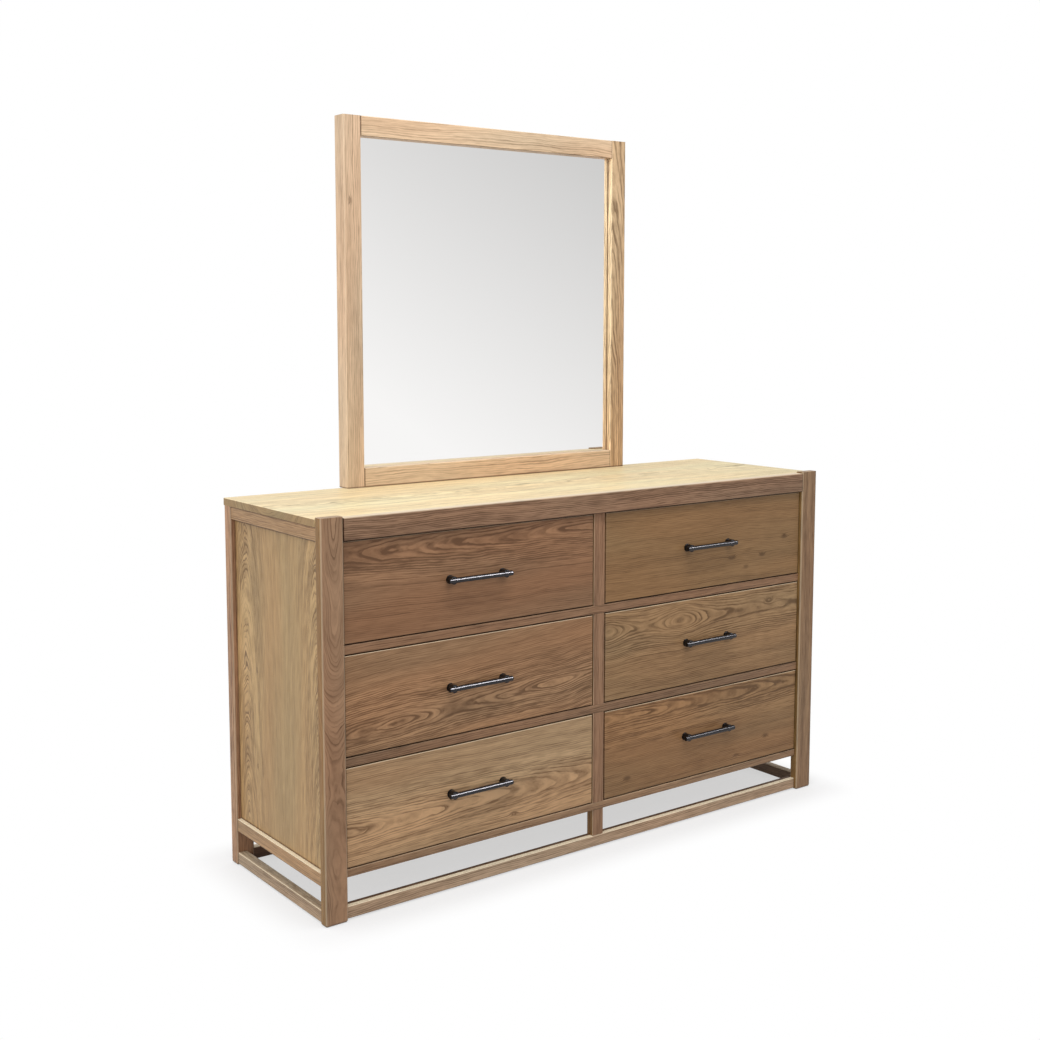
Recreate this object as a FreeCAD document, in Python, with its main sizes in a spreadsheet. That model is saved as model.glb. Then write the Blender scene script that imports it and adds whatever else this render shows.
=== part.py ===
import FreeCAD, Part
import os
import re

# A six-drawer oak dresser with a framed mirror standing at the back of its top.
# Millimetres. +Z is up, the drawers face -Y, and the origin is on the floor under
# the middle of the whole piece, pulls and mirror included.

# Driving dimensions: name, value and what it measures
SIZES = [
    ("case_width", 1500, "width over the outer faces of the posts"),
    ("case_depth", 456, "front face of the posts to the back of the rear legs"),
    ("base_height", 94, "floor to the underside of the bottom rail"),
    ("bottom_rail_height", 18, "height of the bottom rail and of the bearers level with it"),
    ("opening_height", 221.5, "clear height of each drawer opening"),
    ("drawer_rail_height", 20, "height of the two rails between drawers"),
    ("top_rail_height", 48.5, "height of the front rail under the edge of the top"),
    ("top_thickness", 17, "thickness of the top board"),
    ("post_width", 55, "front post, across the front"),
    ("post_depth", 25, "front post, front to back"),
    ("post_rise", 3, "front posts above the surface of the top"),
    ("leg_width", 45, "rear leg, across"),
    ("leg_depth", 31, "rear leg, front to back"),
    ("face_setback", 9, "drawer fronts and rails behind the faces of the posts"),
    ("rail_depth", 22, "front rails and centre stiles, front to back"),
    ("stile_width", 34, "centre stiles and centre leg, across"),
    ("stretcher_lift", 3, "floor to the underside of the stretchers"),
    ("stretcher_height", 28, "height of the stretchers"),
    ("stretcher_depth", 23, "thickness of the stretchers"),
    ("side_setback", 3, "side rails and stretchers behind the outer faces of the posts"),
    ("side_rail_height", 30, "height of the side rails"),
    ("side_rail_thickness", 22, "thickness of the side rails"),
    ("panel_recess", 9, "side panels behind the faces of the side rails"),
    ("panel_thickness", 8, "thickness of the side panels"),
    ("back_thickness", 5, "thickness of the back panel"),
    ("front_gap", 2.5, "gap round each drawer front"),
    ("front_thickness", 18, "thickness of the drawer fronts"),
    ("box_gap", 6, "drawer box inside each side of its opening"),
    ("box_side_thickness", 12, "thickness of the sides and back of the drawer boxes"),
    ("box_headroom", 8, "drawer sides below the top of their opening"),
    ("box_back_drop", 10, "drawer backs below the drawer sides"),
    ("bottom_rise", 12, "underside of the drawer bottoms above the bearers"),
    ("bottom_thickness", 6, "thickness of the drawer bottoms"),
    ("groove_depth", 6, "drawer bottoms let into the drawer sides"),
    ("run_gap", 0.3, "running gap between drawer sides and bearers"),
    ("stop_gap", 8, "drawer boxes short of the rear rails"),
    ("runner_margin", 6, "bearers past the inner faces of the drawer sides"),
    ("guide_height", 15, "height of the guide strips on the bearers"),
    ("guide_gap", 1, "gap between guide strips and drawer sides"),
    ("pull_spacing", 142, "distance between the two posts of a pull"),
    ("pull_overhang", 15, "bar of a pull past the middle of each post"),
    ("pull_standoff", 18, "drawer face to the middle of the bar"),
    ("pull_bar_diameter", 12, "bar of the pulls"),
    ("pull_post_diameter", 18, "posts of the pulls"),
    ("pull_collar_diameter", 20, "collars of the pulls against the drawer face"),
    ("pull_collar_height", 2, "height of those collars"),
    ("mirror_width", 878, "width of the mirror frame"),
    ("mirror_height", 886, "height of the mirror frame"),
    ("mirror_stile_width", 48, "mirror stiles, across"),
    ("mirror_rail_height", 47, "height of the mirror rails"),
    ("glass_recess", 17, "mirror glass behind the face of its frame"),
    ("glass_thickness", 4, "thickness of the mirror glass"),
    ("backing_thickness", 5, "thickness of the board behind the glass"),
    ("rebate_width", 9, "rebate that holds the glass in the frame"),
    ("support_thickness", 16, "battens that hold the mirror to the case"),
    ("support_width", 60, "width of those battens"),
    ("support_spacing", 560, "distance between the middles of the battens"),
    ("support_drop", 300, "battens below the surface of the top"),
    ("screw_shank_diameter", 4, "screws through the battens"),
    ("screw_head_diameter", 9, "heads of those screws"),
    ("screw_head_height", 3, "height of the screw heads"),
    ("screw_bite", 15, "length of those screws past the battens"),
    ("post_round", 6, "rounded long and bottom edges of posts and legs"),
    ("frame_round", 3, "rounded edges of top rail, stretchers and mirror stiles"),
    ("front_round", 2, "rounded edges of drawer fronts, thin rails and the top"),
    ("bar_round", 1.8, "rounded ends of the pulls' bars"),
]

# Places worked out from those sizes. The post faces, the rear legs' backs and the
# drawers' floors carry most of the rest. A half width is measured from the middle.
PLACES = {
    "pull_reach": "pull_standoff + pull_bar_diameter / 2 - face_setback",
    "rear_reach": "support_thickness + screw_head_height",
    "front": "pull_reach - (case_depth + pull_reach + rear_reach) / 2",
    "back": "front + case_depth",
    "post_back": "front + post_depth",
    "leg_front": "back - leg_depth",
    "rail_front": "front + face_setback",
    "rail_back": "rail_front + rail_depth",
    "half_width": "case_width / 2",
    "post_inner": "half_width - post_width",
    "leg_inner": "half_width - leg_width",
    "half_stile": "stile_width / 2",
    "side_face": "half_width - side_setback",
    "side_rail_inner": "side_face - side_rail_thickness",
    "stretcher_inner": "side_face - stretcher_depth",
    "panel_face": "side_face - panel_recess",
    "panel_inner": "panel_face - panel_thickness",
    "stretcher_top": "stretcher_lift + stretcher_height",
    "rear_stretcher_front": "leg_front + (leg_depth - stretcher_depth) / 2",
    "lower_floor": "base_height + bottom_rail_height",
    "middle_floor": "lower_floor + opening_height + drawer_rail_height",
    "upper_floor": "middle_floor + opening_height + drawer_rail_height",
    "top_rail_foot": "upper_floor + opening_height",
    "top_surface": "top_rail_foot + top_rail_height",
    "top_underside": "top_surface - top_thickness",
    "panel_back": "back - back_thickness",
    "front_back": "rail_front + front_thickness",
    "box_back": "leg_front - stop_gap",
    "box_outer": "post_inner - box_gap",
    "box_inner": "half_stile + box_gap",
    "room_outer": "box_outer - box_side_thickness",
    "room_inner": "box_inner + box_side_thickness",
    "runner_edge": "room_outer - runner_margin",
    "half_centre_runner": "room_inner + runner_margin",
    "side_guide_edge": "box_outer + guide_gap",
    "half_centre_guide": "box_inner - guide_gap",
    "drawer_middle": "(post_inner + half_stile) / 2",
    "pull_axis": "rail_front - pull_standoff",
    "half_pull": "pull_spacing / 2",
    "pull_length": "pull_spacing + 2 * pull_overhang",
    "mirror_rail_depth": "glass_recess + glass_thickness + backing_thickness",
    "mirror_front": "back - mirror_rail_depth",
    "mirror_back": "back + support_thickness",
    "glass_front": "mirror_front + glass_recess",
    "glass_back": "glass_front + glass_thickness",
    "half_mirror": "mirror_width / 2",
    "sight_half": "half_mirror - mirror_stile_width",
    "glass_half": "sight_half + rebate_width",
    "mirror_head": "top_surface + mirror_height",
    "sight_foot": "top_surface + mirror_rail_height",
    "sight_head": "mirror_head - mirror_rail_height",
    "glass_foot": "sight_foot - rebate_width",
    "glass_head": "sight_head + rebate_width",
    "support_foot": "top_surface - support_drop",
    "half_supports": "support_spacing / 2",
    "half_support": "support_width / 2",
    "upper_rear_rail_middle": "upper_floor - drawer_rail_height / 2",
    "top_rear_rail_middle": "(top_rail_foot + top_underside) / 2",
    "mirror_foot_middle": "top_surface + mirror_rail_height / 2",
    "mirror_head_middle": "mirror_head - mirror_rail_height / 2",
}

ROWS = ("lower", "middle", "upper")
COLUMNS = ("left", "right")

doc = FreeCAD.newDocument("dresser_with_mirror")
sheet = doc.addObject("Spreadsheet::Sheet", "Sizes")
for row, (name, value, meaning) in enumerate(SIZES, start=1):
    sheet.set(f"A{row}", name)
    sheet.set(f"B{row}", str(value))
    sheet.setAlias(f"B{row}", name)
    sheet.set(f"C{row}", meaning)
doc.recompute()

sub_parts = []


def formula(text):
    """Writes out a formula in the words above so that it reads the sheet's cells."""
    def cell(match):
        word = match.group(0)
        if word in PLACES:
            return "(" + formula(PLACES[word]) + ")"
        return "Sizes." + word
    return re.sub(r"[a-z][a-z_]*", cell, text)


def size(name):
    return float(sheet.get(name))


def other_side(span):
    """The same stretch on the other side of the middle."""
    start, end = span
    return (f"-({end})", f"-({start})")


def on_side(side, span):
    """A stretch given for the right-hand side, on either side."""
    return span if side == "right" else other_side(span)


def board(label, across, deep, high):
    """A straight piece of timber or sheet between six planes, each a formula."""
    piece = doc.addObject("Part::Box", label)
    piece.Label = label
    for measure, axis, span in zip(("Length", "Width", "Height"), "xyz", (across, deep, high)):
        start, end = span
        piece.setExpression(measure, formula(f"({end}) - ({start})"))
        piece.setExpression(f"Placement.Base.{axis}", formula(start))
    return piece


def rod(label, diameter, length, direction, place):
    """A round bar of a given length from a place, along +X or towards the front or back."""
    piece = doc.addObject("Part::Cylinder", label)
    piece.Label = label
    piece.setExpression("Radius", formula(f"({diameter}) / 2"))
    piece.setExpression("Height", formula(length))
    turn = FreeCAD.Rotation(FreeCAD.Vector(0, 0, 1), direction)
    piece.Placement = FreeCAD.Placement(FreeCAD.Vector(), turn)
    for axis, start in zip("xyz", place):
        piece.setExpression(f"Placement.Base.{axis}", formula(start))
    return piece


def sides_of(edge, box):
    """The sides of a piece's box on which one of its edges lies."""
    near = 0.001
    span = edge.BoundBox
    distances = {
        "left": span.XMax - box.XMin,
        "right": box.XMax - span.XMin,
        "front": span.YMax - box.YMin,
        "back": box.YMax - span.YMin,
        "foot": span.ZMax - box.ZMin,
        "head": box.ZMax - span.ZMin,
    }
    return {side for side, distance in distances.items() if distance < near}


def eased(base, label, radius, rounds):
    """Rounds the edges whose sides pass a test, as a maker eases sharp arrises."""
    doc.recompute()
    box = base.Shape.BoundBox
    edges = [
        (number, size(radius), size(radius))
        for number, edge in enumerate(base.Shape.Edges, start=1)
        if rounds(sides_of(edge, box))
    ]
    piece = doc.addObject("Part::Fillet", label)
    piece.Label = label
    piece.Base = base
    piece.Edges = edges
    return piece


def group(label, pieces):
    """Like pieces that share one node, each still a solid of its own."""
    piece = doc.addObject("Part::Compound", label)
    piece.Label = label
    piece.Links = pieces
    return piece


def cut(label, base, tool):
    piece = doc.addObject("Part::Cut", label)
    piece.Label = label
    piece.Base = base
    piece.Tool = tool
    return piece


def fused(label, pieces):
    piece = doc.addObject("Part::MultiFuse", label)
    piece.Label = label
    piece.Shapes = pieces
    return piece


def finish(piece, solids=1):
    """Takes a piece into the hand-in with the number of solids that it must have."""
    sub_parts.append((piece, solids))


def long_edges_across(sides):
    return not sides & {"left", "right"}


def long_edges_deep(sides):
    return not sides & {"front", "back"}


def upright_edges(sides):
    return not sides & {"foot", "head"}


# Front posts and rear legs, with rounded arrises
for side in COLUMNS:
    blank = board(f"post_blank_{side}", on_side(side, ("post_inner", "half_width")), ("front", "post_back"),
                  ("0", "top_surface + post_rise"))
    finish(eased(blank, f"front_post_{side}", "post_round", lambda sides: "head" not in sides))
    blank = board(f"leg_blank_{side}", on_side(side, ("leg_inner", "half_width")), ("leg_front", "back"),
                  ("0", "top_underside"))
    finish(eased(blank, f"rear_leg_{side}", "post_round", lambda sides: "head" not in sides))

# Top board behind the posts, and the rails across the front
post_to_post = ("-post_inner", "post_inner")
leg_to_leg = ("-leg_inner", "leg_inner")
blank = board("top_blank", ("-half_width", "half_width"), ("post_back", "back"),
              ("top_underside", "top_surface"))
finish(eased(blank, "top_board", "front_round", lambda sides: "head" in sides and "front" not in sides))

blank = board("top_rail_blank", post_to_post, ("front", "post_back"), ("top_rail_foot", "top_surface"))
finish(eased(blank, "front_top_rail", "frame_round",
             lambda sides: "front" in sides and long_edges_across(sides)))

FRONT_RAILS = (
    ("bottom_rail", "base_height", "lower_floor"),
    ("drawer_rail_lower", "middle_floor - drawer_rail_height", "middle_floor"),
    ("drawer_rail_upper", "upper_floor - drawer_rail_height", "upper_floor"),
)
for label, foot, head in FRONT_RAILS:
    blank = board(f"{label}_blank", post_to_post, ("rail_front", "rail_back"), (foot, head))
    finish(eased(blank, label, "front_round", lambda sides: "front" in sides and long_edges_across(sides)))

# Centre stiles between the rails, and the short leg under the bottom rail
stile = ("-half_stile", "half_stile")
stiles = []
for row in ROWS:
    blank = board(f"stile_blank_{row}", stile, ("rail_front", "rail_back"),
                  (f"{row}_floor", f"{row}_floor + opening_height"))
    stiles.append(eased(blank, f"stile_{row}", "front_round",
                        lambda sides: "front" in sides and upright_edges(sides)))
finish(group("centre_stiles", stiles), solids=len(ROWS))

blank = board("centre_leg_blank", stile, ("rail_front", "rail_back"), ("stretcher_top", "base_height"))
finish(eased(blank, "centre_leg", "frame_round", upright_edges))

# Stretchers just above the floor
stretcher = ("stretcher_lift", "stretcher_top")
blank = board("front_stretcher_blank", post_to_post,
              ("rail_front", "rail_front + stretcher_depth"), stretcher)
finish(eased(blank, "front_stretcher", "frame_round", long_edges_across))
blank = board("rear_stretcher_blank", leg_to_leg,
              ("rear_stretcher_front", "rear_stretcher_front + stretcher_depth"), stretcher)
finish(eased(blank, "rear_stretcher", "frame_round", long_edges_across))
for side in COLUMNS:
    blank = board(f"side_stretcher_blank_{side}", on_side(side, ("stretcher_inner", "side_face")),
                  ("post_back", "leg_front"), stretcher)
    finish(eased(blank, f"side_stretcher_{side}", "frame_round", long_edges_deep))

# Framed sides: two rails and a recessed panel between post and leg
for side in COLUMNS:
    side_rails = []
    across = on_side(side, ("side_rail_inner", "side_face"))
    for level, foot, head in (("lower", "lower_floor - side_rail_height", "lower_floor"),
                              ("upper", "top_underside - side_rail_height", "top_underside")):
        blank = board(f"side_rail_blank_{level}_{side}", across, ("post_back", "leg_front"), (foot, head))
        side_rails.append(eased(blank, f"side_rail_{level}_{side}", "front_round",
                                lambda sides, face=side: face in sides and long_edges_deep(sides)))
    finish(group(f"side_rails_{side}", side_rails), solids=2)
    finish(board(f"side_panel_{side}", on_side(side, ("panel_inner", "panel_face")),
                 ("post_back", "leg_front"), ("lower_floor", "top_underside - side_rail_height")))

# Back panel and the rear rails that it is fixed to
finish(board("back_panel", leg_to_leg, ("panel_back", "back"), ("base_height", "top_underside")))

BEARER_LEVELS = (
    ("lower", "base_height", "lower_floor"),
    ("middle", "middle_floor - drawer_rail_height", "middle_floor"),
    ("upper", "upper_floor - drawer_rail_height", "upper_floor"),
    ("top", "top_rail_foot", "top_underside"),
)
rear_rails = [board(f"rear_rail_{level}", leg_to_leg, ("leg_front", "panel_back"), (foot, head))
              for level, foot, head in BEARER_LEVELS]
finish(group("rear_rails", rear_rails), solids=len(rear_rails))

# Bearers from the front rails to the rear rails. The drawers run on the lower three
# sets, and the top set stops the upper drawers from tipping.
side_runner = ("runner_edge", "side_rail_inner")
centre_runner = ("-half_centre_runner", "half_centre_runner")
runners = []
for level, foot, head in BEARER_LEVELS:
    runner_front = "post_back" if level == "top" else "rail_back"
    for place, across in (("left", other_side(side_runner)), ("centre", centre_runner),
                          ("right", side_runner)):
        runners.append(board(f"runner_{level}_{place}", across, (runner_front, "leg_front"), (foot, head)))
finish(group("drawer_runners", runners), solids=len(runners))

# Guide strips on the bearers, which keep the drawers straight
side_guide = ("side_guide_edge", "side_rail_inner")
centre_guide = ("-half_centre_guide", "half_centre_guide")
guides = []
for row in ROWS:
    for place, across in (("left", other_side(side_guide)), ("centre", centre_guide),
                          ("right", side_guide)):
        guides.append(board(f"guide_{row}_{place}", across, ("rail_back", "leg_front"),
                            (f"{row}_floor", f"{row}_floor + guide_height")))
finish(group("drawer_guides", guides), solids=len(guides))


def drawer(row, side):
    """One drawer: front, two grooved sides, back, bottom and a bar pull."""
    name = f"{row}_{side}"
    floor = f"{row}_floor"
    sides_head = f"{floor} + opening_height - box_headroom"
    bottom = (f"{floor} + bottom_rise", f"{floor} + bottom_rise + bottom_thickness")
    box_depth = ("front_back", "box_back")

    face = on_side(side, ("half_stile + front_gap", "post_inner - front_gap"))
    blank = board(f"front_blank_{name}", face, ("rail_front", "front_back"),
                  (f"{floor} + front_gap", f"{floor} + opening_height - front_gap"))
    finish(eased(blank, f"drawer_front_{name}", "front_round", lambda sides: "front" in sides))

    side_height = (f"{floor} + run_gap", sides_head)
    inner = board(f"box_side_inner_{name}", on_side(side, ("box_inner", "room_inner")),
                  box_depth, side_height)
    outer = board(f"box_side_outer_{name}", on_side(side, ("room_outer", "box_outer")),
                  box_depth, side_height)
    let_in = on_side(side, ("room_inner - groove_depth", "room_outer + groove_depth"))
    groove = board(f"groove_{name}", let_in, box_depth, bottom)
    finish(cut(f"drawer_sides_{name}", group(f"box_sides_{name}", [inner, outer]), groove), solids=2)
    finish(board(f"drawer_bottom_{name}", let_in, box_depth, bottom))
    finish(board(f"drawer_back_{name}", on_side(side, ("room_inner", "room_outer")),
                 ("box_back - box_side_thickness", "box_back"), (bottom[1], f"{sides_head} - box_back_drop")))

    pull(name, "drawer_middle" if side == "right" else "-drawer_middle", f"{floor} + opening_height / 2")


def pull(name, middle, height):
    """A round bar on two posts, with a collar under each post."""
    along_x = FreeCAD.Vector(1, 0, 0)
    to_front = FreeCAD.Vector(0, -1, 0)
    bar = rod(f"bar_blank_{name}", "pull_bar_diameter", "pull_length", along_x,
              (f"{middle} - pull_length / 2", "pull_axis", height))
    pieces = [eased(bar, f"bar_{name}", "bar_round", lambda sides: sides & {"left", "right"})]
    for end, place in (("left", f"{middle} - half_pull"), ("right", f"{middle} + half_pull")):
        foot = (place, "rail_front", height)
        pieces.append(rod(f"post_{name}_{end}", "pull_post_diameter", "pull_standoff", to_front, foot))
        pieces.append(rod(f"collar_{name}_{end}", "pull_collar_diameter", "pull_collar_height",
                          to_front, foot))
    finish(fused(f"pull_{name}", pieces))


for row in ROWS:
    for side in COLUMNS:
        drawer(row, side)

# Mirror frame: full-height stiles with butted rails between, all rebated for the glass
for side in COLUMNS:
    blank = board(f"mirror_stile_blank_{side}", on_side(side, ("sight_half", "half_mirror")),
                  ("mirror_front", "mirror_back"), ("top_surface", "mirror_head"))
    rebate = board(f"mirror_stile_rebate_{side}", on_side(side, ("sight_half", "glass_half")),
                   ("glass_front", "mirror_back"), ("glass_foot", "glass_head"))
    rounded = eased(blank, f"mirror_stile_eased_{side}", "frame_round", upright_edges)
    finish(cut(f"mirror_stile_{side}", rounded, rebate))

mirror_rails = []
sight = ("-sight_half", "sight_half")
for level, foot, head, rebate_foot, rebate_head in (
        ("bottom", "top_surface", "sight_foot", "glass_foot", "sight_foot"),
        ("top", "sight_head", "mirror_head", "sight_head", "glass_head")):
    blank = board(f"mirror_rail_blank_{level}", sight, ("mirror_front", "back"), (foot, head))
    rebate = board(f"mirror_rail_rebate_{level}", sight, ("glass_front", "back"), (rebate_foot, rebate_head))
    rounded = eased(blank, f"mirror_rail_eased_{level}", "front_round",
                    lambda sides: "front" in sides and long_edges_across(sides))
    mirror_rails.append(cut(f"mirror_rail_{level}", rounded, rebate))
finish(group("mirror_rails", mirror_rails), solids=2)

pane = ("-glass_half", "glass_half")
pane_height = ("glass_foot", "glass_head")
finish(board("mirror_glass", pane, ("glass_front", "glass_back"), pane_height))
finish(board("mirror_backing", pane, ("glass_back", "back"), pane_height))

# Two battens up the back, screwed to the rear rails of the case and to the mirror's rails
SCREW_HEIGHTS = ("upper_rear_rail_middle", "top_rear_rail_middle", "mirror_foot_middle", "mirror_head_middle")
to_back = FreeCAD.Vector(0, 1, 0)
battens = []
screws = []
for side in COLUMNS:
    middle = "half_supports" if side == "right" else "-half_supports"
    battens.append(board(f"mirror_support_{side}", (f"{middle} - half_support", f"{middle} + half_support"),
                         ("back", "mirror_back"), ("support_foot", "mirror_head")))
    for number, height in enumerate(SCREW_HEIGHTS, start=1):
        shank = rod(f"screw_shank_{side}_{number}", "screw_shank_diameter",
                    "support_thickness + screw_bite", to_back, (middle, "back - screw_bite", height))
        head = rod(f"screw_head_{side}_{number}", "screw_head_diameter", "screw_head_height", to_back,
                   (middle, "mirror_back", height))
        screws.append(fused(f"support_screw_{side}_{number}", [shank, head]))
finish(group("mirror_supports", battens), solids=len(battens))
finish(group("support_screws", screws), solids=len(screws))

doc.recompute()
for item in doc.Objects:
    if {"Invalid", "Error"} & set(item.State):
        raise RuntimeError(f"{item.Label} failed: {item.State}")
for piece, solids in sub_parts:
    shape = piece.Shape
    if shape.isNull() or not shape.isValid() or len(shape.Solids) != solids:
        raise RuntimeError(f"{piece.Label} has no sound shape")

os.makedirs("parts", exist_ok=True)
for piece, solids in sub_parts:
    piece.Shape.exportStep(f"parts/{piece.Label}.step")
print(len(sub_parts), "nodes written")
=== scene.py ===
"""Oak dresser with mirror: the finish of every piece, its small fittings and a plain studio."""
import math
from functools import partialmethod
from typing import NamedTuple

import bmesh
import bpy
from bpy.props import FloatProperty, FloatVectorProperty, IntProperty, PointerProperty
from mathutils import Matrix, Vector


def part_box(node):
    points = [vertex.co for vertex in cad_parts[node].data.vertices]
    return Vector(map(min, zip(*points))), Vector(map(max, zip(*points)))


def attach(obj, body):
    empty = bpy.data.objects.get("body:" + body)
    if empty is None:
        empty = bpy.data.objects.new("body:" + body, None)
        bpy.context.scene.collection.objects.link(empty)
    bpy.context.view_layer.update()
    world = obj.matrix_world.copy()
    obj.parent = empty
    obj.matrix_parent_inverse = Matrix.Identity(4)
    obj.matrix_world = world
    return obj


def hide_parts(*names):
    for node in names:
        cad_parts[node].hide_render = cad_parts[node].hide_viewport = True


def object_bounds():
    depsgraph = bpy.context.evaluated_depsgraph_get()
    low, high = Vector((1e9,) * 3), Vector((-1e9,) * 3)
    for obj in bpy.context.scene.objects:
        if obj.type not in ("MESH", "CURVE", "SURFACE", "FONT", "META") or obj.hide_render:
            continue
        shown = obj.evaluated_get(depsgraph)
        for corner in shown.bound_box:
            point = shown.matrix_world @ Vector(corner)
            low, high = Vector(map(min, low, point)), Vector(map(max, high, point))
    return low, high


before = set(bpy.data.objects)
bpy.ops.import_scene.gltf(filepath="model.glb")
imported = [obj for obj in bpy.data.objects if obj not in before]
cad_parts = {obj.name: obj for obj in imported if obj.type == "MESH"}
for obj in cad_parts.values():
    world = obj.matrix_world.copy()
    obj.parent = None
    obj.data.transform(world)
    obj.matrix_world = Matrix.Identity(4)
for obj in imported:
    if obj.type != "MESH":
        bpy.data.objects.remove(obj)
CAD_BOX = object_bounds()

bl_info = {
    "name": "Oak Dresser with Mirror",
    "version": (1, 0, 0),
    "blender": (4, 5, 0),
    "location": "3D View > Sidebar > Dresser",
    "description": "Finishes a six-drawer oak dresser and its mirror, and sets up a plain studio",
    "category": "Object",
}

ROWS = ("lower", "middle", "upper")
COLUMNS = ("left", "right")
DRAWERS = [f"{row}_{side}" for row in ROWS for side in COLUMNS]
QUARTER_TURN = math.pi / 2
WHITE = (1.0, 1.0, 1.0)


def paint(red, green, blue):
    """A colour given from 0 to 255, as a paint chart shows it, in linear light."""
    def linear(part):
        part = part / 255
        return part / 12.92 if part <= 0.04045 else ((part + 0.055) / 1.055) ** 2.4
    return (linear(red), linear(green), linear(blue))


# What a user may change


def colour(name, description, default):
    return FloatVectorProperty(name=name, description=description, default=default, subtype="COLOR",
                               min=0.0, max=1.0)


def amount(name, description, default, **limits):
    return FloatProperty(name=name, description=description, default=default, **limits)


def length(*given):
    return amount(*given, unit="LENGTH", subtype="DISTANCE", precision=5)


def share(*given):
    return amount(*given, subtype="FACTOR", min=0.0, max=1.0)


def level(*given):
    return amount(*given, min=0.0)


def angle(name, description, degrees):
    return amount(name, description, math.radians(degrees), subtype="ANGLE")


def number(name, description, default, least):
    return IntProperty(name=name, description=description, default=default, min=least)


class DresserTimber(bpy.types.PropertyGroup):
    """Colours and grain of the oak and of the plainer woods behind it."""
    front: colour("Drawer fronts", "Oak of the drawer fronts", paint(157, 121, 88))
    case: colour("Case frame", "Oak of posts, rails, stiles and stretchers", paint(160, 124, 96))
    panel: colour("Side panels", "Oak veneer of the side panels", paint(174, 145, 104))
    # The top oak is paler than the case oak, partly as painted light from above.
    top: colour("Top", "Oak of the top board", paint(214, 198, 158))
    mirror: colour("Mirror frame", "Oak of the mirror's frame", paint(205, 174, 142))
    # Faces that look up are mixed towards this pale oak as painted light, and rounded edges as wear and
    # painted highlight.
    faded_and_lit: colour("Faded oak", "Oak of ledges and sanded edges, bleached by light", paint(253, 238, 208))
    box: colour("Drawer boxes", "Plain pale wood of the drawer boxes and bearers", paint(205, 178, 138))
    plywood: colour("Plywood", "Drawer bottoms, back and the board behind the glass", paint(208, 178, 136))
    ring_width: length("Ring width", "Usual distance between growth rings", 0.0042)
    grain_depth: share("Grain depth", "How much darker the early wood is than the board", 0.50)
    pore_depth: length("Pore depth", "Depth of the open pores", 0.0002)
    gloss_low: share("Satin roughness", "Roughness of the satin lacquer", 0.42)
    gloss_high: share("Pore roughness", "Roughness inside the open pores", 0.65)
    # Arris wear is part sanding and part painted highlight on the rounded edges.
    arris_wear_and_sheen: share("Arris wear", "How far the sanded edges have faded", 0.22)
    # Ledge light is painted light on the narrow faces that look up.
    ledge_light: share("Ledge wear", "How far the narrow faces that look up have faded", 0.95)
    # Joint dirt darkens joints, and also paints shade under edges, in gaps, at feet and under the case.
    joint_dirt_and_shade: share("Joint dirt", "How much darker the edges are where boards meet", 0.85)


class DresserFittings(bpy.types.PropertyGroup):
    """Metal and mirror glass."""
    gunmetal: colour("Gunmetal", "Dark metal of the pulls", paint(38, 37, 40))
    steel: colour("Screw steel", "Zinc-plated screws", paint(176, 176, 172))
    silvering: colour("Silvering", "Tint of the mirror", paint(247, 246, 245))
    gunmetal_roughness: share("Gunmetal roughness", "Roughness of the pulls", 0.27)
    pull_overhang: length("Pull overhang", "End of a pull's bar to the middle of its post", 0.015)
    pull_screw_head: length("Pull screw head", "Diameter of the screw heads behind the pulls", 0.009)
    pull_screw_height: length("Pull screw height", "Height of the screw heads behind the pulls", 0.0028)
    batten_screw_shank: length("Batten screw", "Diameter of the screws through the battens", 0.004)
    pin_head: length("Pin head", "Diameter of the heads of the panel pins", 0.0044)
    pin_margin: length("Pin margin", "End of the back panel to the first pin", 0.014)
    pin_columns: number("Pin columns", "Panel pins along each rear rail", 11, 2)
    plate_width: length("Plate width", "Width of the plates behind the mirror", 0.014)
    plate_tongue: length("Plate tongue", "Reach of a plate over the board behind the glass", 0.008)
    plate_tail: length("Plate tail", "Reach of a plate over the mirror's rail", 0.018)
    plate_thickness: length("Plate thickness", "Thickness of the plates behind the mirror", 0.0012)
    plate_screw_head: length("Plate screw head", "Diameter of the screw heads on the plates", 0.0065)
    plate_screw_height: length("Plate screw height", "Height of the screw heads on the plates", 0.0020)
    plate_columns: number("Plate columns", "Plates along each mirror rail", 6, 1)


class DresserStudio(bpy.types.PropertyGroup):
    """Camera, floor and light."""
    camera_place: FloatVectorProperty(name="Camera", description="Where the camera stands", unit="LENGTH",
                                      default=(-2.0983, -2.7093, 1.2712), subtype="TRANSLATION")
    heading: angle("Heading", "Turn of the camera from +Y towards +X", 36.82)
    dip: angle("Dip", "Camera below the horizontal", 6.05)
    lens: amount("Lens", "Focal length on a 36 mm sensor, in millimetres", 48.06)
    rise: amount("Rise", "Vertical shift of the frame, as a share of its width", -0.0514)
    floor: colour("Floor", "Colour of the floor", (0.86, 0.86, 0.87))
    floor_bounce: share("Floor bounce", "Share of the light that the floor throws back", 0.35)
    floor_radius: length("Floor radius", "Distance from the middle to the edge of the floor", 4.5)
    floor_white: share("Floor white", "Share of plain white in the floor under the dresser", 0.58)
    floor_shade: length("Floor shade", "Reach of the dresser's shade on the floor round it", 0.12)
    ambient: level("Ambient", "Light from all round", 0.42)
    sky: level("Sky", "Light added from above", 0.05)
    left: level("Left", "Light added from the upper left", 1.05)
    fill: level("Fill", "Light added from behind on the right", 0.40)
    strip: level("Strip", "Power of the long lamp above the front, in watts", 21.0)
    gleam: level("Gleam", "Power of the lamp that the pulls reflect, in watts", 405.0)


# Shader maths


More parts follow.
